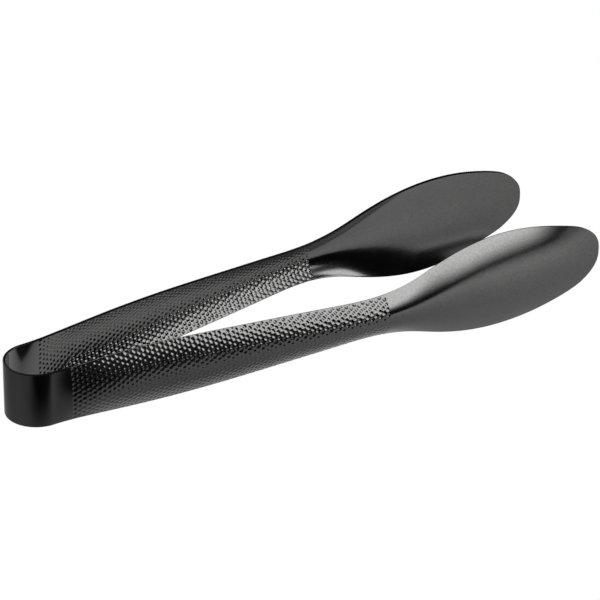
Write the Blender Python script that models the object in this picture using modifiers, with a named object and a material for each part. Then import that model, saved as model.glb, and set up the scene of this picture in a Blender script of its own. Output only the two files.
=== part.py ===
"""Serving tongs bent from one strip of black stainless steel, with hammered arms and spoon blades.

The strip stands on edge: it leaves the bow at x = 0, runs along +X in two arms that open like a V and
ends in two shallow oval blades facing each other across the plane y = 0. Both arms are curved across
their width, crowning away from that plane. Lengths are in metres.
"""

import math

import bmesh
import bpy
import numpy as np

# Overall sizes
HANDLE_LENGTH = 0.1350  # from the end of the bow's half circle to the blade
BLADE_LENGTH = 0.0980
BLADE_WIDTH = 0.0392
HANDLE_WIDTH = 0.0243  # widest place of the hammered arm
NECK_WIDTH = 0.0166  # narrowest place, just before the blade
BOW_WIDTH = 0.0218  # width of the strip round the bow
MOUTH = 0.0530  # between the outer faces at the tips, at rest
BOW_RADIUS = 0.0120  # outer face of the bow
SHEET = 0.0010
CROWN = 0.0047  # how far the middle of the strip stands out beyond its edges
BOW_LEG = 0.0075  # smooth straight length between the bow's half circle and the hammering
GAP = 0.0003  # between neighbouring bodies of the one sheet
EDGE = 0.00018  # chamfer of the deburred rim

# Stations along an arm: 0 where the bow's half circle ends, 1 where the blade begins, 2 at the tip.
# Half width, as a share of the named width it belongs to
HALF_WIDTHS = (
    (0.00, 0.500 * BOW_WIDTH),
    (0.06, 0.503 * BOW_WIDTH),
    (0.12, 0.470 * HANDLE_WIDTH),
    (0.27, 0.500 * HANDLE_WIDTH),
    (0.47, 0.476 * HANDLE_WIDTH),
    (0.65, 0.426 * HANDLE_WIDTH),
    (0.84, 0.535 * NECK_WIDTH),
    (0.94, 0.500 * NECK_WIDTH),
    (1.03, 0.542 * NECK_WIDTH),
    (1.13, 0.283 * BLADE_WIDTH),
    (1.26, 0.389 * BLADE_WIDTH),
    (1.40, 0.472 * BLADE_WIDTH),
    (1.54, 0.500 * BLADE_WIDTH),
    (1.68, 0.471 * BLADE_WIDTH),
    (1.83, 0.383 * BLADE_WIDTH),
    (1.94, 0.268 * BLADE_WIDTH),
    (1.98, 0.168 * BLADE_WIDTH),
    (2.00, 0.0),
)
# How far the edges have opened from the bow's radius towards half the mouth
OPENING = (
    (0.00, 0.0),
    (0.06, 0.020),
    (0.14, 0.050),
    (0.245, 0.131),
    (0.47, 0.374),
    (0.73, 0.619),
    (0.95, 0.816),
    (1.13, 0.883),
    (1.39, 0.888),
    (1.64, 0.937),
    (1.85, 1.007),
    (2.00, 1.0),
)
# Share of the full crown
CROWNS = (
    (0.00, 0.0),
    (0.06, 0.190),
    (0.11, 0.560),
    (0.17, 0.880),
    (0.27, 0.970),
    (0.52, 0.990),
    (0.95, 1.000),
    (1.11, 0.975),
    (1.25, 1.000),
    (1.44, 1.000),
    (1.60, 0.900),
    (1.72, 0.720),
    (1.86, 0.400),
    (2.00, 0.0),
)
TIP_SWEEP = 0.22 * BLADE_WIDTH  # how far the last mesh columns bow round the tip
SWEEP_START = 1.5

LENGTH = BOW_RADIUS + HANDLE_LENGTH + BLADE_LENGTH
STRAIGHT = HANDLE_LENGTH + BLADE_LENGTH
QUARTER = BOW_RADIUS * math.pi / 2
HALF_HEIGHT = BLADE_WIDTH / 2
# Each half of the bow flexes along its quarter arc and turns its arm about that arc's centroid
HINGE_X = BOW_RADIUS * (1 - 2 / math.pi)
HINGE_Y = BOW_RADIUS * 2 / math.pi

STEEL = (0.060, 0.060, 0.064, 1.0)
HAMMERED_STEEL = (0.050, 0.050, 0.053, 1.0)


def along(share):
    """Distance past the bow's half circle of a station."""
    return HANDLE_LENGTH * np.minimum(share, 1) + BLADE_LENGTH * np.maximum(share - 1, 0)


def spline(places, stations, start_slope=None):
    """Cubic spline with continuous curvature through (station, value) pairs."""
    xs = along(np.array([station for station, _ in stations]))
    ys = np.array([value for _, value in stations])
    steps = np.diff(xs)
    count = len(xs)
    system = np.zeros((count, count))
    right = np.zeros(count)
    system[0, :2] = (2, 1) if start_slope is None else (1, 0)
    right[0] = 3 * (ys[1] - ys[0]) / steps[0] if start_slope is None else start_slope
    system[-1, -2:] = 1, 2
    right[-1] = 3 * (ys[-1] - ys[-2]) / steps[-1]
    for row in range(1, count - 1):
        before, after = steps[row - 1], steps[row]
        system[row, row - 1 : row + 2] = after, 2 * (before + after), before
        rise_before, rise_after = ys[row] - ys[row - 1], ys[row + 1] - ys[row]
        right[row] = 3 * (after * rise_before / before + before * rise_after / after)
    slopes = np.linalg.solve(system, right)
    at = np.clip(np.searchsorted(xs, places) - 1, 0, count - 2)
    step, t = steps[at], (places - xs[at]) / steps[at]
    value = ys[at] * (1 + 2 * t) * (1 - t) ** 2 + step * slopes[at] * t * (1 - t) ** 2
    return value + ys[at + 1] * t * t * (3 - 2 * t) + step * slopes[at + 1] * t * t * (t - 1)


def half_width(place):
    """The square is interpolated, so the outline closes round at the tip."""
    squares = tuple((station, value * value) for station, value in HALF_WIDTHS)
    return np.sqrt(np.clip(spline(place, squares), 0, None))


def outer_face(run, across, side):
    """Points of the outer face.

    run is the distance along the strip from the back of the bow, across goes from -1 at the lower edge
    to 1 at the upper edge, and side is -1 for the right arm and 1 for the left.
    """
    angle = np.clip(run, 0, QUARTER) / BOW_RADIUS
    place = np.clip(run - QUARTER, 0, STRAIGHT)
    start = along(SWEEP_START)
    sweep = TIP_SWEEP * np.clip((place - start) / (STRAIGHT - start), 0, 1) ** 2
    height = across * half_width(place - sweep)
    place = place - sweep * np.abs(across) ** 2.5
    opened = (MOUTH / 2 - BOW_RADIUS) * spline(place, OPENING, start_slope=0)
    level = np.clip(1 - (height / np.maximum(half_width(place), 1e-6)) ** 2, 0, 1)
    x = BOW_RADIUS * (1 - np.cos(angle)) + place
    y = BOW_RADIUS * np.sin(angle) + opened + CROWN * spline(place, CROWNS, start_slope=0) * level
    return np.stack([x - LENGTH / 2, side * y, height + HALF_HEIGHT], axis=-1)


def black_steel(name, color, roughness):
    material = bpy.data.materials.new(name)
    material.use_nodes = True
    shader = material.node_tree.nodes["Principled BSDF"]
    shader.inputs["Base Color"].default_value = color
    shader.inputs["Metallic"].default_value = 1.0
    shader.inputs["Roughness"].default_value = roughness
    material.diffuse_color = color
    return material


def sheet(name, runs, rows, material, collection, hinge=None):
    """A piece of the strip: its outer face as a shaped grid, thickened inwards by the sheet.

    runs are distances along the strip, negative on the right arm and positive on the left.
    """
    mesh = bpy.data.meshes.new(name)
    grid = bmesh.new()
    bmesh.ops.create_grid(grid, x_segments=len(runs) - 1, y_segments=rows, size=1.0)
    places = np.array([vertex.co for vertex in grid.verts])
    column = np.rint((places[:, 0] + 1) / 2 * (len(runs) - 1)).astype(int)
    run = np.asarray(runs)[column]
    points = outer_face(np.abs(run), places[:, 1], np.where(run < 0, -1.0, 1.0))
    if hinge:
        points -= np.array(hinge.location)
    for vertex, point in zip(grid.verts, points):
        vertex.co = point
    bmesh.ops.reverse_faces(grid, faces=grid.faces)  # they faced into the tongs
    grid.to_mesh(mesh)
    grid.free()

    piece = bpy.data.objects.new(name, mesh)
    collection.objects.link(piece)
    mesh.materials.append(material)
    mesh.shade_smooth()
    piece.parent = hinge

    thickness = piece.modifiers.new("sheet", "SOLIDIFY")
    thickness.thickness = SHEET
    thickness.offset = -1
    thickness.use_even_offset = True
    rim = piece.modifiers.new("deburred rim", "BEVEL")
    rim.width = EDGE
    rim.segments = 1
    rim.limit_method = "ANGLE"
    rim.angle_limit = math.radians(50)
    return piece


def hinge_at(name, side, collection):
    empty = bpy.data.objects.new(name, None)
    empty.empty_display_size = BOW_RADIUS
    empty.location = (HINGE_X - LENGTH / 2, side * HINGE_Y, HALF_HEIGHT)
    collection.objects.link(empty)
    return empty


def main():
    for old in list(bpy.data.objects):
        bpy.data.objects.remove(old, do_unlink=True)
    tongs = bpy.data.collections.new("serving_tongs")
    bpy.context.scene.collection.children.link(tongs)

    smooth_steel = black_steel("smooth black steel", STEEL, 0.24)
    hammered = {
        side: black_steel(f"hammered black steel, {side}", HAMMERED_STEEL, 0.26)
        for side in ("right", "left")
    }
    blade_steel = {
        side: black_steel(f"blade black steel, {side}", STEEL, 0.22) for side in ("right", "left")
    }

    bow_end = QUARTER + BOW_LEG
    blade_start = QUARTER + HANDLE_LENGTH

    sheet("spring_bow", np.linspace(-bow_end, bow_end, 37), 6, smooth_steel, tongs)

    handle_runs = np.linspace(bow_end + GAP, blade_start - GAP, 25)
    blade_runs = np.linspace(blade_start, QUARTER + STRAIGHT, 27)
    for side_name, side in (("right", -1), ("left", 1)):
        hinge = hinge_at(f"{side_name}_hinge", side, tongs)
        # Each list of runs rises from right to left, as the bow's does
        for part, runs, rows, material in (
            ("handle", handle_runs, 8, hammered[side_name]),
            ("blade", blade_runs, 12, blade_steel[side_name]),
        ):
            ordered = runs if side > 0 else -runs[::-1]
            sheet(f"{side_name}_{part}", ordered, rows, material, tongs, hinge)


main()
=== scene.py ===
"""Looks of a pair of one-strip serving tongs: smooth bow, hammered arms and satin spoon blades.

Lengths are in metres. The strip stands on edge, runs along +X from the bow to the tips, and its two
arms mirror each other across the plane y = 0.
"""

from __future__ import annotations

import logging
import math
from dataclasses import dataclass, field
from enum import Enum

import bpy
import numpy as np
from mathutils import Matrix, Vector

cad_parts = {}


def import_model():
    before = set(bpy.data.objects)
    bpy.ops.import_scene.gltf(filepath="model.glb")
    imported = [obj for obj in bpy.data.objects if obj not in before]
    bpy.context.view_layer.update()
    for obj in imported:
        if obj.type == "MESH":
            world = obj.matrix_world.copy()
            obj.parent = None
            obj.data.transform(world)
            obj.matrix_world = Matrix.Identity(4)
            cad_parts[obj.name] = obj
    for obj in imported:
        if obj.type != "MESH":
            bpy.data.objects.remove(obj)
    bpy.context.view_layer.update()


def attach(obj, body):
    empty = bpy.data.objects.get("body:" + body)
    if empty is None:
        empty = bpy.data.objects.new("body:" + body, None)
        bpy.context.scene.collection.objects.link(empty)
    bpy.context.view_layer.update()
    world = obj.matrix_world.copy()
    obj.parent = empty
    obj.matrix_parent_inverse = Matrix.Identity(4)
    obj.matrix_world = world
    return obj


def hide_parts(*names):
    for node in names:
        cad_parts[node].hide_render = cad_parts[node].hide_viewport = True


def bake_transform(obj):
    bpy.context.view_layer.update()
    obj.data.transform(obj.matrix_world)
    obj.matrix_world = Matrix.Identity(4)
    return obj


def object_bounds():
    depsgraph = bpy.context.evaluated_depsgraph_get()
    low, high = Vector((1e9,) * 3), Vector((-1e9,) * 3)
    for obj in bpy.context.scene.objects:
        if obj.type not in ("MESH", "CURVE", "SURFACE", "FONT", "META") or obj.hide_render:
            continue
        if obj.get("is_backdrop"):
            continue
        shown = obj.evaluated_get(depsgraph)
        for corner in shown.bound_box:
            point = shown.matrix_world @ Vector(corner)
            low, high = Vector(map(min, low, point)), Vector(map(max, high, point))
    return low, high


log = logging.getLogger("serving_tongs")
Stations = tuple[tuple[float, float], ...]

SKIN = 3e-5  # a point that lies this near to a face is on it
SAME_RUN = 1e-6  # runs nearer to each other than this are equal
LONG_EDGE = 0.9999  # a point further across than this is on one of the strip's long edges


class Side(Enum):
    """The arm a piece belongs to, with the sign of its y."""

    RIGHT = -1
    LEFT = 1

    @property
    def word(self) -> str:
        """The side's name as it stands in piece names."""
        return self.name.lower()

    @property
    def arm(self) -> str:
        """The body that the arm's pieces ride on."""
        return f"{self.word}_arm"


@dataclass(frozen=True)
class StripForm:
    """The shape of the bent strip's outer face, from the back of the bow to the tips."""

    handle_length: float = 0.1350
    blade_length: float = 0.0980
    blade_width: float = 0.0392
    handle_width: float = 0.0243
    neck_width: float = 0.0166
    bow_width: float = 0.0218
    mouth: float = 0.0530
    bow_radius: float = 0.0120
    sheet: float = 0.0010
    crown: float = 0.0047
    bow_leg: float = 0.0075
    tip_sweep: float = 0.0086
    sweep_start: float = 1.5
    sweep_power: float = 2.5

    @property
    def straight(self) -> float:
        """Length of an arm beyond the bow's half circle."""
        return self.handle_length + self.blade_length

    @property
    def length(self) -> float:
        """Length from the back of the bow to the tips."""
        return self.bow_radius + self.straight

    @property
    def quarter(self) -> float:
        """Length of the quarter arc that each half of the bow turns through."""
        return self.bow_radius * math.pi / 2

    def half_width_stations(self) -> Stations:
        """Half widths along an arm.

        Returns:
            Pairs of station and half width. Station 0 ends the bow's half circle, 1 starts the
            blade and 2 is the tip.
        """
        bow, handle = self.bow_width, self.handle_width
        neck, blade = self.neck_width, self.blade_width
        return (
            (0.00, 0.500 * bow),
            (0.06, 0.503 * bow),
            (0.12, 0.470 * handle),
            (0.27, 0.500 * handle),
            (0.47, 0.476 * handle),
            (0.65, 0.426 * handle),
            (0.84, 0.535 * neck),
            (0.94, 0.500 * neck),
            (1.03, 0.542 * neck),
            (1.13, 0.283 * blade),
            (1.26, 0.389 * blade),
            (1.40, 0.472 * blade),
            (1.54, 0.500 * blade),
            (1.68, 0.471 * blade),
            (1.83, 0.383 * blade),
            (1.94, 0.268 * blade),
            (1.98, 0.168 * blade),
            (2.00, 0.0),
        )

    def opening_stations(self) -> Stations:
        """How far the edges have opened from the bow's radius towards half the mouth.

        Returns:
            Pairs of station and share of the opening.
        """
        return (
            (0.00, 0.0),
            (0.06, 0.020),
            (0.14, 0.050),
            (0.245, 0.131),
            (0.47, 0.374),
            (0.73, 0.619),
            (0.95, 0.816),
            (1.13, 0.883),
            (1.39, 0.888),
            (1.64, 0.937),
            (1.85, 1.007),
            (2.00, 1.0),
        )

    def crown_stations(self) -> Stations:
        """How much of the crown the strip has along an arm.

        Returns:
            Pairs of station and share of the full crown.
        """
        return (
            (0.00, 0.0),
            (0.06, 0.190),
            (0.11, 0.560),
            (0.17, 0.880),
            (0.27, 0.970),
            (0.52, 0.990),
            (0.95, 1.000),
            (1.11, 0.975),
            (1.25, 1.000),
            (1.44, 1.000),
            (1.60, 0.900),
            (1.72, 0.720),
            (1.86, 0.400),
            (2.00, 0.0),
        )

    def along(self, station: np.ndarray | float) -> np.ndarray:
        """Distance past the bow's half circle of a station."""
        return self.handle_length * np.minimum(station, 1) + self.blade_length * np.maximum(
            np.asarray(station) - 1, 0
        )

    def spline(
        self, place: np.ndarray, stations: Stations, start_slope: float | None = None
    ) -> np.ndarray:
        """Cubic spline with continuous curvature through the stations.

        Args:
            place: Distances past the bow's half circle.
            stations: Pairs of station and value.
            start_slope: Slope at the first station, or None for a free end.

        Returns:
            The value at each place.
        """
        xs = self.along(np.array([station for station, _ in stations]))
        ys = np.array([value for _, value in stations])
        steps = np.diff(xs)
        count = len(xs)
        system = np.zeros((count, count))
        right = np.zeros(count)
        system[0, :2] = (2, 1) if start_slope is None else (1, 0)
        right[0] = 3 * (ys[1] - ys[0]) / steps[0] if start_slope is None else start_slope
        system[-1, -2:] = 1, 2
        right[-1] = 3 * (ys[-1] - ys[-2]) / steps[-1]
        for row in range(1, count - 1):
            before, after = steps[row - 1], steps[row]
            system[row, row - 1 : row + 2] = after, 2 * (before + after), before
            rise_before, rise_after = ys[row] - ys[row - 1], ys[row + 1] - ys[row]
            right[row] = 3 * (after * rise_before / before + before * rise_after / after)
        slopes = np.linalg.solve(system, right)
        at = np.clip(np.searchsorted(xs, place) - 1, 0, count - 2)
        step, t = steps[at], (place - xs[at]) / steps[at]
        value = ys[at] * (1 + 2 * t) * (1 - t) ** 2 + step * slopes[at] * t * (1 - t) ** 2
        return value + ys[at + 1] * t * t * (3 - 2 * t) + step * slopes[at + 1] * t * t * (t - 1)

    def half_width(self, place: np.ndarray) -> np.ndarray:
        """Half the strip's width, interpolated as its square so that the tip closes round."""
        squares = tuple((station, value**2) for station, value in self.half_width_stations())
        return np.sqrt(np.clip(self.spline(place, squares), 0, None))

    def crown_at(self, place: np.ndarray) -> np.ndarray:
        """How far the middle of the strip stands out beyond its edges."""
        return self.crown * self.spline(place, self.crown_stations(), start_slope=0)

    def outer_face(self, run: np.ndarray, across: np.ndarray, side: Side) -> np.ndarray:
        """Points of the outer face.

        Args:
            run: Distances along the strip from the back of the bow.
            across: From -1 at the lower edge to 1 at the upper edge.
            side: The arm.

        Returns:
            An array of points, one row each.
        """
        angle = np.clip(run, 0, self.quarter) / self.bow_radius
        place = np.clip(run - self.quarter, 0, self.straight)
        start = self.along(self.sweep_start)
        sweep = self.tip_sweep * np.clip((place - start) / (self.straight - start), 0, 1) ** 2
        height = across * self.half_width(place - sweep)
        place = place - sweep * np.abs(across) ** self.sweep_power
        opened = self.spline(place, self.opening_stations(), start_slope=0)
        level = np.clip(1 - (height / np.maximum(self.half_width(place), 1e-6)) ** 2, 0, 1)
        x = self.bow_radius * (1 - np.cos(angle)) + place
        y = self.bow_radius * np.sin(angle) + (self.mouth / 2 - self.bow_radius) * opened
        y += self.crown_at(place) * level
        return np.stack(
            [x - self.length / 2, side.value * y, height + self.blade_width / 2], axis=-1
        )

    def outward(self, run: np.ndarray, across: np.ndarray, side: Side) -> np.ndarray:
        """Unit normals of the outer face, pointing out of the tongs.

        Args:
            run: Distances along the strip from the back of the bow.
            across: From -1 at the lower edge to 1 at the upper edge.
            side: The arm.

        Returns:
            An array of normals, one row each.
        """
        step, lean = 1e-5, 1e-3
        ahead = self.outer_face(run + step, across, side)
        ahead -= self.outer_face(run - step, across, side)
        up = self.outer_face(run, across + lean, side)
        up -= self.outer_face(run, across - lean, side)
        normal = np.cross(ahead, up) * -side.value
        return normal / np.linalg.norm(normal, axis=1, keepdims=True)

    def girth(self, run: np.ndarray, across: np.ndarray) -> np.ndarray:
        """Distance over the crowned face from the strip's middle line.

        Args:
            run: Distances along the strip from the back of the bow.
            across: From -1 at the lower edge to 1 at the upper edge.

        Returns:
            The length of the parabola that the strip's section follows, up to each point.
        """
        place = np.clip(run - self.quarter, 0, self.straight)
        half = np.maximum(self.half_width(place), 1e-4)
        bend = np.maximum(2 * self.crown_at(place) / half**2, 1e-3)
        height = across * half
        root = np.sqrt(1 + (bend * height) ** 2)
        return height / 2 * root + np.arcsinh(bend * height) / (2 * bend)


@dataclass(frozen=True)
class Dimples:
    """The hammered pattern: shallow round dents on a slightly uneven hexagonal grid.

    Its sizes are lengths, but for the last three, which are shares.
    """

    pitch: float = 0.00202
    radius: float = 0.00108
    depth: float = 0.00023
    jitter: float = 0.00017
    edge_fade: float = 0.00090
    seam_fade: float = 0.00030
    through: float = 1.0
    radius_spread: float = 0.08
    depth_spread: float = 0.15

    @staticmethod
    def scatter(column: np.ndarray, row: np.ndarray, salt: float) -> np.ndarray:
        """A repeatable uneven value from -1 to 1 for each dent."""
        value = np.sin(column * 127.1 + row * 311.7 + salt * 74.7) * 43758.5453
        return 2 * (value - np.floor(value)) - 1

    def dent(self, ahead: np.ndarray, girth: np.ndarray) -> np.ndarray:
        """How deep the pattern is pressed.

        Args:
            ahead: Distances along the arm from where the pattern begins.
            girth: Distances over the face from its middle line.

        Returns:
            The depth at each place.
        """
        spacing = self.pitch * math.sqrt(3) / 2
        first = np.rint((ahead - spacing / 2) / spacing)
        depth = np.zeros_like(ahead)
        for shift in (-1, 0, 1):
            column = first + shift
            stagger = 0.5 * np.mod(column, 2)
            near = np.rint(girth / self.pitch - stagger)
            for nudge in (-1, 0, 1):
                row = near + nudge
                x = spacing * (column + 0.5) + self.jitter * self.scatter(column, row, 1.0)
                y = self.pitch * (row + stagger) + self.jitter * self.scatter(column, row, 2.0)
                reach = self.radius * (1 + self.radius_spread * self.scatter(column, row, 3.0))
                away = np.clip(np.hypot(ahead - x, girth - y) / reach, 0, 1)
                size = self.depth * (1 + self.depth_spread * self.scatter(column, row, 4.0))
                depth = np.maximum(depth, size * (0.5 + 0.5 * np.cos(math.pi * away)))
        return depth


@dataclass(frozen=True)
class SteelFinish:
    """A black coated steel finish, with noise scales per metre."""

    name: str
    slot: str
    tone: float
    roughness: float
    grain: float = 0.0
    speckle: float = 0.4
    uneven: float = 0.10
    rough_spread: float = 0.03
    cloud_scale: float = 90.0
    speck_scale: float = 1500.0
    grain_scale: float = 2600.0
    grain_depth: float = 0.00002
    grain_stretch: tuple[float, float, float] = (0.06, 1.0, 1.0)

    @staticmethod
    def noise(where: bpy.types.NodeSocket, scale: float, detail: float) -> bpy.types.NodeSocket:
        """Adds a noise texture.

        Args:
            where: The coordinates' socket.
            scale: Noise cells in a metre.
            detail: Levels of finer noise.

        Returns:
            The socket of the noise's value.
        """
        tree = where.id_data
        node = tree.nodes.new("ShaderNodeTexNoise")
        node.inputs["Scale"].default_value = scale
        node.inputs["Detail"].default_value = detail
        tree.links.new(where, node.inputs["Vector"])
        return node.outputs["Fac"]

    def coat(self, share: float) -> tuple[float, float, float, float]:
        """The coat's very slightly warm colour, at a share of its tone."""
        tone = self.tone * share
        return tone * 1.01, tone, tone * 0.995, 1.0

    def material(self) -> bpy.types.Material:
        """Builds the finish, with clouds and specks in its tone and a fine grain along the strip.

        Returns:
            The material.
        """
        made = bpy.data.materials.new(self.name)
        made.use_nodes = True
        tree = made.node_tree
        shader = tree.nodes["Principled BSDF"]
        shader.inputs["Metallic"].default_value = 1.0
        where = tree.nodes.new("ShaderNodeTexCoord").outputs["Object"]
        cloud = self.noise(where, self.cloud_scale, 4.0)
        speck = self.noise(where, self.speck_scale, 2.0)

        rough = tree.nodes.new("ShaderNodeMapRange")
        rough.inputs["To Min"].default_value = self.roughness - self.rough_spread
        rough.inputs["To Max"].default_value = self.roughness + self.rough_spread
        tree.links.new(cloud, rough.inputs["Value"])
        tree.links.new(rough.outputs["Result"], shader.inputs["Roughness"])

        blend = tree.nodes.new("ShaderNodeMix")
        blend.inputs["Factor"].default_value = self.speckle
        tree.links.new(cloud, blend.inputs["A"])
        tree.links.new(speck, blend.inputs["B"])
        tone = tree.nodes.new("ShaderNodeMix")
        tone.data_type = "RGBA"
        tone.inputs["A"].default_value = self.coat(1 - self.uneven)
        tone.inputs["B"].default_value = self.coat(1 + self.uneven)
        tree.links.new(blend.outputs["Result"], tone.inputs["Factor"])
        tree.links.new(tone.outputs["Result"], shader.inputs["Base Color"])

        if self.grain:
            stretch = tree.nodes.new("ShaderNodeMapping")
            stretch.inputs["Scale"].default_value = self.grain_stretch
            tree.links.new(where, stretch.inputs["Vector"])
            bump = tree.nodes.new("ShaderNodeBump")
            bump.inputs["Strength"].default_value = self.grain
            bump.inputs["Distance"].default_value = self.grain_depth
            fine = self.noise(stretch.outputs["Vector"], self.grain_scale, 3.0)
            tree.links.new(fine, bump.inputs["Height"])
            tree.links.new(bump.outputs["Normal"], shader.inputs["Normal"])
        return made


@dataclass
class SheetPiece:
    """A piece of the strip, from one run along it to another, on one side.

    Its cut edges get a near-black painted shade, but a rolled piece keeps its own finish on the
    rounded outer edge. Its inner edge is rounded less.
    """

    form: StripForm
    side: Side
    finish: SteelFinish
    edge_finish: SteelFinish
    name: str = "piece"
    node: str = "node"
    columns: int = 100
    rows: int = 40
    rim: float = 0.00038
    rolled: bool = True
    inner_share: float = 0.6
    own_finish_share: float = 0.9
    dimples: Dimples | None = None
    piece: bpy.types.Object | None = field(default=None, init=False)

    def runs(self) -> np.ndarray:
        """Distances along the strip of the mesh columns, rising."""
        raise NotImplementedError

    def open_end(self) -> bool:
        """Whether the last column is a free edge of the sheet."""
        return False

    def build(self) -> bpy.types.Object:
        """Models the piece and dresses it.

        Returns:
            The finished object.
        """
        self.shape()
        self.thicken()
        if self.dimples:
            self.hammer()
        self.piece.data.shade_smooth()
        self.sharpen()
        self.attach()
        count = sum(len(face.vertices) - 2 for face in self.piece.data.polygons)
        log.info("%s: %d triangles", self.piece.name, count)
        return self.piece

    def attribute(self, name: str) -> np.ndarray:
        """Reads a point attribute of the piece's mesh.

        Args:
            name: The attribute.

        Returns:
            A value for each vertex.
        """
        values = np.empty(len(self.piece.data.vertices), np.float32)
        self.piece.data.attributes[name].data.foreach_get("value", values)
        return values.astype(float)

    def points(self) -> np.ndarray:
        """Reads where the vertices are.

        Returns:
            An array of points, one row each.
        """
        flat = np.empty(len(self.piece.data.vertices) * 3, np.float32)
        self.piece.data.vertices.foreach_get("co", flat)
        return flat.reshape(-1, 3).astype(float)

    def move(self, points: np.ndarray) -> None:
        """Moves the vertices to new points."""
        self.piece.data.vertices.foreach_set("co", points.astype(np.float32).ravel())
        self.piece.data.update()

    def shape(self) -> None:
        """Adds a flat grid and bends it to the strip's outer face."""
        bpy.ops.object.select_all(action="DESELECT")
        bpy.ops.mesh.primitive_grid_add(
            x_subdivisions=self.columns, y_subdivisions=self.rows, size=2.0
        )
        self.piece = bpy.context.active_object
        self.piece.name = self.piece.data.name = self.name
        flat = self.points()
        column = np.rint((flat[:, 0] + 1) / 2 * self.columns).astype(int)
        run, across = self.runs()[column], np.round(flat[:, 1], 6)
        for name, values in (("run", run), ("across", across)):
            layer = self.piece.data.attributes.new(name, "FLOAT", "POINT")
            layer.data.foreach_set("value", values.astype(np.float32))
        self.move(self.form.outer_face(run, across, self.side))
        if self.side is Side.LEFT:
            bpy.ops.object.mode_set(mode="EDIT")
            bpy.ops.mesh.select_all(action="SELECT")
            bpy.ops.mesh.flip_normals()
            bpy.ops.object.mode_set(mode="OBJECT")

    def thicken(self) -> None:
        """Gives the sheet its thickness, rounds its free edges and paints dark shade on its cut
        edges.
        """
        for finish in (self.finish, self.edge_finish):
            self.piece.data.materials.append(finish.material())
        sheet = self.piece.modifiers.new("sheet", "SOLIDIFY")
        sheet.thickness = self.form.sheet
        sheet.offset = -1
        sheet.use_even_offset = True
        sheet.material_offset_rim = 1
        bpy.ops.object.modifier_apply(modifier=sheet.name)
        sizes = self.edge_sizes()
        weight = self.piece.data.attributes.new("bevel_weight_edge", "FLOAT", "EDGE")
        weight.data.foreach_set("value", sizes.astype(np.float32))
        rim = self.piece.modifiers.new("rim", "BEVEL")
        rim.width = self.rim
        rim.segments = 3
        rim.limit_method = "WEIGHT"
        bpy.ops.object.modifier_apply(modifier=rim.name)
        self.colour_rims()

    def edge_sizes(self) -> np.ndarray:
        """How much each edge of the mesh is rounded.

        Returns:
            A share of the rim for each edge, which is 0 away from the free edges of the sheet.
        """
        mesh = self.piece.data
        run, across = self.attribute("run"), self.attribute("across")
        ends = np.empty(len(mesh.edges) * 2, np.int32)
        mesh.edges.foreach_get("vertices", ends)
        a, b = ends.reshape(-1, 2).T
        free = (np.abs(across[a]) > LONG_EDGE) & (np.abs(across[b]) > LONG_EDGE)
        free &= np.abs(run[a] - run[b]) > SAME_RUN
        if self.open_end():
            last = self.runs()[-1] - SAME_RUN
            free |= (run[a] > last) & (run[b] > last) & (across[a] != across[b])
        full = (self.depth_in() < self.form.sheet / 2)[a] | (not self.rolled)
        return np.where(full, 1.0, self.inner_share) * free

    def depth_in(self) -> np.ndarray:
        """How far each vertex lies inside the outer face.

        Returns:
            A depth for each vertex.
        """
        run, across = self.attribute("run"), self.attribute("across")
        gap = self.form.outer_face(run, across, self.side) - self.points()
        return np.einsum("ij,ij->i", gap, self.form.outward(run, across, self.side))

    def colour_rims(self) -> None:
        """Paints the cut edges near-black, as painted shade along the outline. A rolled edge keeps
        the strip's own finish.
        """
        depth, deepest = self.depth_in(), self.form.sheet - SKIN
        rolled_depth = self.rim * self.own_finish_share if self.rolled else 0.0
        for face in self.piece.data.polygons:
            middle = depth[list(face.vertices)].mean()
            cut = max(SKIN, rolled_depth) < middle < deepest
            # A face on the cut edge takes the near-black painted shade.
            face.material_index = 1 if cut else 0

    def hammer(self) -> None:
        """Presses the dimples in from outside, so that they stand out on the inner face."""
        run, across = self.attribute("run"), self.attribute("across")
        points, girth = self.points(), self.form.girth(run, across)
        limit = self.form.girth(run, np.ones_like(run))
        room = np.clip((limit - np.abs(girth)) / self.dimples.edge_fade, 0, 1)
        first, last = self.runs()[0], self.runs()[-1]
        ends = np.clip(np.minimum(run - first, last - run) / self.dimples.seam_fade, 0, 1)
        depth = self.dimples.dent(run - first, girth) * room**2 * (3 - 2 * room) * ends
        out = self.form.outward(run, across, self.side)
        inside = self.depth_in() > self.form.sheet / 2
        depth = np.where(inside, depth * self.dimples.through, depth)
        self.move(points - out * depth[:, None])

    def sharpen(self) -> None:
        """Keeps the ends at the seams crisp."""
        bpy.ops.object.select_all(action="DESELECT")
        self.piece.select_set(True)
        bpy.context.view_layer.objects.active = self.piece
        bpy.ops.object.shade_smooth_by_angle(angle=math.radians(60))

    def attach(self) -> None:
        """Rides the piece on its arm in place of the solid it stands for."""
        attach(self.piece, self.side.arm)
        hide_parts(self.node)


@dataclass
class BowHalf(SheetPiece):
    """Half of the smooth U-shaped bow."""

    columns: int = 130
    rows: int = 44
    rim: float = 0.00022
    rolled: bool = False
    crowding: float = 0.25
    bend_ahead: float = 0.0140
    bend_aside: float = 0.0120

    def runs(self) -> np.ndarray:
        """Columns that crowd towards the back of the bow, where the halves meet."""
        share = np.linspace(0, 1, self.columns + 1)
        share = self.crowding * share**2 + (1 - self.crowding) * share
        return (self.form.quarter + self.form.bow_leg) * share

    def attach(self) -> None:
        """Bakes the piece in place and hides the bow's solid; the piece rides on no arm."""
        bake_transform(self.piece)
        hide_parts(self.node)


@dataclass
class Handle(SheetPiece):
    """A hammered arm."""

    columns: int = 520
    rows: int = 88

    def runs(self) -> np.ndarray:
        """Columns from the end of the bow to the blade."""
        start = self.form.quarter + self.form.bow_leg
        return np.linspace(start, self.form.quarter + self.form.handle_length, self.columns + 1)


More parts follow.
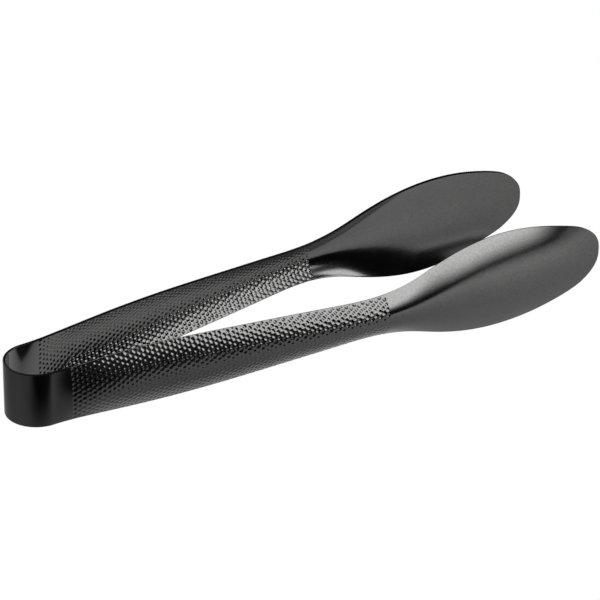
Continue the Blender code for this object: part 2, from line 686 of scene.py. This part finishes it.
@dataclass
class Blade(SheetPiece):
    """A shallow spoon blade with a fine satin grain."""

    columns: int = 200
    rows: int = 90
    rim: float = 0.00030
    rolled: bool = False

    def runs(self) -> np.ndarray:
        """Columns from the handle to the tip."""
        start = self.form.quarter + self.form.handle_length
        return np.linspace(start, self.form.quarter + self.form.straight, self.columns + 1)

    def open_end(self) -> bool:
        """The tip is a free edge."""
        return True


class NodeSums:
    """Adds Math and Map Range nodes to a node tree, so that a pattern reads as a sum."""

    def __init__(self, tree: bpy.types.NodeTree) -> None:
        """Keeps the tree that the nodes go into."""
        self.tree = tree

    def maths(self, kind: str, *values: bpy.types.NodeSocket | float) -> bpy.types.NodeSocket:
        """Adds a Math node.

        Args:
            kind: The operation.
            values: Numbers, or sockets to link.

        Returns:
            The result's socket.
        """
        node = self.tree.nodes.new("ShaderNodeMath")
        node.operation = kind
        for socket, value in zip(node.inputs, values):
            if isinstance(value, (int, float)):
                socket.default_value = value
            else:
                self.tree.links.new(value, socket)
        return node.outputs[0]

    def ramp(
        self,
        value: bpy.types.NodeSocket,
        low: float,
        high: float,
        start: float = 0.0,
        end: float = 1.0,
    ) -> bpy.types.NodeSocket:
        """Adds a smooth step.

        Args:
            value: What the step follows.
            low: The value at which the step begins.
            high: The value at which it ends.
            start: The result below the step.
            end: The result above it.

        Returns:
            The result's socket.
        """
        node = self.tree.nodes.new("ShaderNodeMapRange")
        node.interpolation_type = "SMOOTHSTEP"
        self.tree.links.new(value, node.inputs["Value"])
        settings = {"From Min": low, "From Max": high, "To Min": start, "To Max": end}
        for name, number in settings.items():
            node.inputs[name].default_value = number
        return node.outputs["Result"]

    def product(self, *factors: bpy.types.NodeSocket | float) -> bpy.types.NodeSocket:
        """Multiplies.

        Args:
            factors: Numbers or sockets, of which the first is a socket.

        Returns:
            The product's socket.
        """
        total = factors[0]
        for factor in factors[1:]:
            total = self.maths("MULTIPLY", total, factor)
        return total

    def axes(self, kind: str) -> tuple[bpy.types.NodeSocket, ...]:
        """Splits coordinates.

        Args:
            kind: The output of the Texture Coordinate node.

        Returns:
            The sockets of X, Y and Z.
        """
        where = self.tree.nodes.new("ShaderNodeTexCoord")
        split = self.tree.nodes.new("ShaderNodeSeparateXYZ")
        self.tree.links.new(where.outputs[kind], split.inputs["Vector"])
        return tuple(split.outputs)


@dataclass(frozen=True)
class Softbox:
    """An upright light panel beside the table, with soft edges.

    Its foot can be lifted on the side of lower x, over a span about the panel's middle.
    """

    name: str
    across: tuple[float, float]
    upright: tuple[float, float]
    away: float
    glow: float
    side_fade: float
    foot_fade: float
    foot_lift: float = 0.0
    lift_span: tuple[float, float] = (-0.06, 0.04)

    def build(self) -> None:
        """Adds the panel as a mesh light that the camera doesn't see."""
        (left, right), (foot, top) = self.across, self.upright
        middle_x, middle_z = (left + right) / 2, (foot + top) / 2
        bpy.ops.object.select_all(action="DESELECT")
        bpy.ops.mesh.primitive_plane_add(
            size=1.0, location=(middle_x, self.away, middle_z), rotation=(math.pi / 2, 0, 0)
        )
        panel = bpy.context.active_object
        panel.name = self.name
        panel.scale = (right - left, top - foot, 1.0)
        bpy.ops.object.transform_apply(location=True, rotation=True, scale=True)
        panel.visible_camera = False
        panel.visible_shadow = False
        panel.data.materials.append(self.material(middle_x))
        panel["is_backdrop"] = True

    def material(self, middle_x: float) -> bpy.types.Material:
        """Builds the panel's glow, which fades towards its edges.

        Args:
            middle_x: The middle of the panel.

        Returns:
            The material.
        """
        (left, right), (foot, top) = self.across, self.upright
        lit = bpy.data.materials.new(self.name)
        lit.use_nodes = True
        tree = lit.node_tree
        tree.nodes.clear()
        sums = NodeSums(tree)
        x, _, z = sums.axes("Object")
        start, end = (middle_x + place for place in self.lift_span)
        lift = sums.ramp(x, start, end, self.foot_lift, 0.0)
        strength = sums.product(
            sums.ramp(x, left, left + self.side_fade),
            sums.ramp(x, right - self.side_fade, right, 1.0, 0.0),
            sums.ramp(sums.maths("SUBTRACT", z, lift), foot, foot + self.foot_fade),
            sums.ramp(z, top - self.side_fade, top, 1.0, 0.0),
            self.glow,
        )
        glow = tree.nodes.new("ShaderNodeEmission")
        tree.links.new(strength, glow.inputs["Strength"])
        out = tree.nodes.new("ShaderNodeOutputMaterial")
        tree.links.new(glow.outputs["Emission"], out.inputs["Surface"])
        return lit


@dataclass(frozen=True)
class Spot:
    """A soft oval spot of painted light or painted shade in the table top's glow."""

    middle: tuple[float, float]
    reach: tuple[float, float]
    change: float

    def over(
        self,
        sums: NodeSums,
        place: tuple[bpy.types.NodeSocket, ...],
        ground: bpy.types.NodeSocket | float,
    ) -> bpy.types.NodeSocket:
        """Adds the spot to the light that is there.

        Args:
            sums: The node tree's sums.
            place: The sockets of X and Y.
            ground: The light without the spot.

        Returns:
            The socket of the light with the spot.
        """
        parts = [
            sums.maths("POWER", sums.maths("DIVIDE", sums.maths("SUBTRACT", axis, at), width), 2.0)
            for axis, at, width in zip(place, self.middle, self.reach)
        ]
        level = sums.maths("EXPONENT", sums.maths("MULTIPLY", sums.maths("ADD", *parts), -1.0))
        return sums.maths("MULTIPLY_ADD", level, self.change, ground)


@dataclass(frozen=True)
class Studio:
    """White table with painted soft light and shade in its glow, light panels beside it, a dim room
    and the camera.
    """

    azimuth: float = 32.866
    elevation: float = 29.690
    roll: float = 0.372
    distance: float = 1.49980
    lens: float = 240.0
    aim: tuple[float, float, float] = (-0.0025, 0.0, 0.0196)
    right_shift: float = 0.004519
    up_shift: float = 0.002214
    room: float = 0.10
    floor_drop: float = 0.0002
    table_light: float = 0.62
    # Painted pools of light and a painted shadow in the table top's glow.
    blade_light: Spot = Spot((0.13, -0.10), (0.09, 0.055), 0.75)
    light_between_arms: Spot = Spot((0.02, 0.0), (0.16, 0.020), 0.50)
    shade_by_right_arm: Spot = Spot((-0.06, -0.031), (0.075, 0.010), -0.40)

    def table_top(self, sums: NodeSums) -> bpy.types.NodeSocket:
        """Works out how bright the table looks in the steel: painted light and shade in the floor's
        glow.

        Args:
            sums: The floor material's sums.

        Returns:
            The brightness's socket.
        """
        x, y, _ = sums.axes("Object")
        light = self.blade_light.over(sums, (x, y), self.table_light)
        light = self.light_between_arms.over(sums, (x, y), light)
        shaded = self.shade_by_right_arm.over(sums, (x, y), 1.0)
        # Painted shade: the table is dimmer behind the bow.
        painted_shade_behind_bow = sums.ramp(x, -0.130, -0.090, 0.42, 1.0)
        # The tongs' own painted shadow in front of the right arm follows a curve that starts at the
        # bow.
        bend = sums.maths("POWER", sums.maths("ADD", x, 0.125), 2.0)
        own_shade = sums.ramp(sums.maths("MULTIPLY_ADD", bend, 17.8, y), -0.048, -0.012, 0.05, 1.0)
        # The table ends at soft edges, and its front edge turns away beyond the blades.
        beyond = sums.maths("MAXIMUM", sums.maths("SUBTRACT", x, 0.12), 0.0)
        table = sums.product(
            sums.ramp(sums.maths("MULTIPLY_ADD", beyond, 1.2, y), -0.175, -0.140),
            sums.ramp(y, 0.20, 0.26, 1.0, 0.0),
            sums.ramp(sums.maths("ABSOLUTE", x), 0.32, 0.40, 1.0, 0.0),
        )
        lit = sums.product(light, painted_shade_behind_bow, shaded, table)
        return sums.product(sums.maths("MAXIMUM", lit, self.room), own_shade)

    def floor(self) -> None:
        """Lays the floor: plain white to the camera, and in reflections a table top whose glow
        carries painted light and shade.
        """
        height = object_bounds()[0][2] - self.floor_drop
        bpy.ops.object.select_all(action="DESELECT")
        bpy.ops.mesh.primitive_plane_add(size=60.0, location=(0, 0, height))
        floor = bpy.context.active_object
        floor.name = "floor"
        white = bpy.data.materials.new("white floor")
        white.use_nodes = True
        tree = white.node_tree
        tree.nodes.clear()
        path = tree.nodes.new("ShaderNodeLightPath")
        strength = tree.nodes.new("ShaderNodeMix")
        tree.links.new(path.outputs["Is Camera Ray"], strength.inputs["Factor"])
        tree.links.new(self.table_top(NodeSums(tree)), strength.inputs["A"])
        strength.inputs["B"].default_value = 1.0
        glow = tree.nodes.new("ShaderNodeEmission")
        tree.links.new(strength.outputs["Result"], glow.inputs["Strength"])
        out = tree.nodes.new("ShaderNodeOutputMaterial")
        tree.links.new(glow.outputs["Emission"], out.inputs["Surface"])
        floor.data.materials.append(white)
        floor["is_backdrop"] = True

    def camera(self) -> None:
        """Places the camera in front of the right arm, above the floor."""
        az, el, roll = (math.radians(v) for v in (self.azimuth, self.elevation, self.roll))
        back = Vector((-math.sin(az) * math.cos(el), -math.cos(az) * math.cos(el), math.sin(el)))
        right = (-back).cross(Vector((0, 0, 1))).normalized()
        up = right.cross(-back)
        across = math.cos(roll) * right + math.sin(roll) * up
        upward = -math.sin(roll) * right + math.cos(roll) * up
        aim = Vector(self.aim) + self.right_shift * across + self.up_shift * upward
        turn = Matrix((across, upward, back)).transposed().to_4x4()
        data = bpy.data.cameras.new("camera")
        data.lens = self.lens
        data.sensor_width = 36.0
        data.clip_start = 0.01
        camera = bpy.data.objects.new("camera", data)
        camera.matrix_world = Matrix.Translation(aim + self.distance * back) @ turn
        bpy.context.scene.collection.objects.link(camera)
        bpy.context.scene.camera = camera

    def light(self) -> None:
        """Sets the light panels, in front of the tongs, beyond the blades and behind."""
        tall = (0.0, 0.50)
        Softbox(
            "key panel", (-0.010, 0.240), tall, away=-0.20, glow=4.9, side_fade=0.045,
            foot_fade=0.075, foot_lift=0.075,
        ).build()
        Softbox(
            "side panel", (0.295, 0.460), (0.11, 0.31), away=-0.20, glow=5.0, side_fade=0.035,
            foot_fade=0.035,
        ).build()
        Softbox(
            "rear panel", (-0.240, -0.045), tall, away=0.20, glow=4.9, side_fade=0.045,
            foot_fade=0.075,
        ).build()

    def surround(self) -> None:
        """Makes the room, which is white to the camera and dim in reflections."""
        world = bpy.data.worlds.new("studio")
        bpy.context.scene.world = world
        world.use_nodes = True
        tree = world.node_tree
        tree.nodes.clear()
        sums = NodeSums(tree)
        path = tree.nodes.new("ShaderNodeLightPath")
        background = tree.nodes.new("ShaderNodeBackground")
        strength = tree.nodes.new("ShaderNodeMix")
        _, _, height = sums.axes("Generated")
        tree.links.new(path.outputs["Is Camera Ray"], strength.inputs["Factor"])
        tree.links.new(sums.ramp(height, 0.55, 0.95, self.room, 0.9), strength.inputs["A"])
        strength.inputs["B"].default_value = 1.0
        tree.links.new(strength.outputs["Result"], background.inputs["Strength"])
        background.inputs["Color"].default_value = (1, 1, 1, 1)
        out = tree.nodes.new("ShaderNodeOutputWorld")
        tree.links.new(background.outputs["Background"], out.inputs["Surface"])
        bpy.context.scene.view_settings.view_transform = "Standard"


def main() -> None:
    """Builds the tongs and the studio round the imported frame."""
    logging.basicConfig(level=logging.INFO, format="%(name)s %(message)s")
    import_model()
    form = StripForm()
    bow = SteelFinish("smooth_black_steel", "bow_steel", 0.095, 0.12)
    hammered = SteelFinish("hammered_black_steel", "hammered_steel", 0.094, 0.12)
    satin = SteelFinish(
        "satin_black_steel", "blade_steel", 0.096, 0.13, grain=0.4, speckle=0.8, uneven=0.4
    )
    # Near-black painted shade for the cut edges, one for each finish.
    painted_edge_shades = {
        finish: SteelFinish(f"{finish.name}_rim", finish.slot, 0.004, 0.35)
        for finish in (bow, hammered, satin)
    }
    for side in Side:
        word = side.word
        BowHalf(form, side, bow, painted_edge_shades[bow], f"bow_half_{word}", "spring_bow").build()
        name, node = f"handle_{word}", f"{word}_handle"
        Handle(form, side, hammered, painted_edge_shades[hammered], name, node, dimples=Dimples()).build()
        Blade(form, side, satin, painted_edge_shades[satin], f"blade_{word}", f"{word}_blade").build()
    studio = Studio()
    studio.floor()
    studio.camera()
    studio.light()
    studio.surround()


if __name__ == "__main__":
    main()
